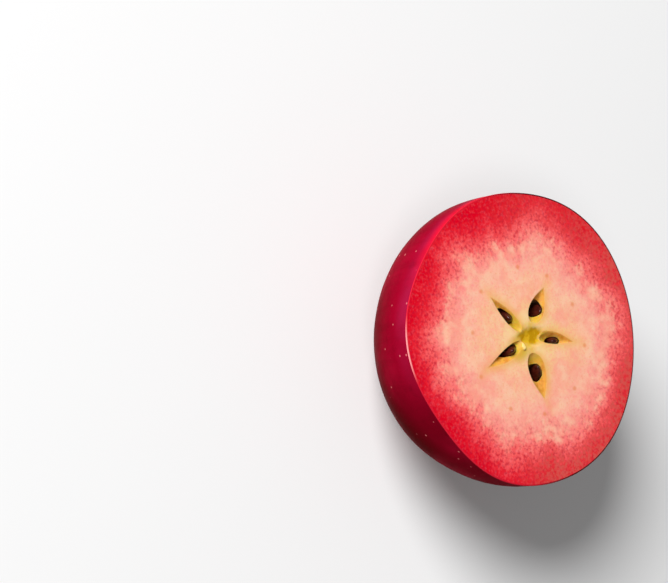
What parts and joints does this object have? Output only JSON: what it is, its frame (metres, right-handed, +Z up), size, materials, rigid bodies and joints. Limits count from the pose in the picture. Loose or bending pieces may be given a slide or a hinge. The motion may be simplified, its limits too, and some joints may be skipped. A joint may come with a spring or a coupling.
{
  "type": "apple half",
  "caption": "Half of a red-fleshed apple cut across the core, lying cut face up on its calyx end, with open seed cavities and loose pips.",
  "frame": {"origin": "under the middle of the half, on the surface that its base lobes rest on", "axes": "+Z up, square to the level cut face; +X and +Y lie in the surface, and the core's axis runs along Z about 0.8 mm from the origin"},
  "size_m": [0.0742, 0.075, 0.0389],
  "materials": {
    "flesh_and_skin": "moist cut fruit flesh, pink to cream, inside a smooth waxy crimson skin",
    "pip_coat": "smooth glossy dark brown seed coat"
  },
  "bodies": {
    "root": {"flesh_and_skin": "flesh_and_skin", "pip_1": "pip_coat", "pip_2": "pip_coat", "pip_3": "pip_coat", "pip_4": "pip_coat", "pip_5": "pip_coat"}
  },
  "joints": []
}
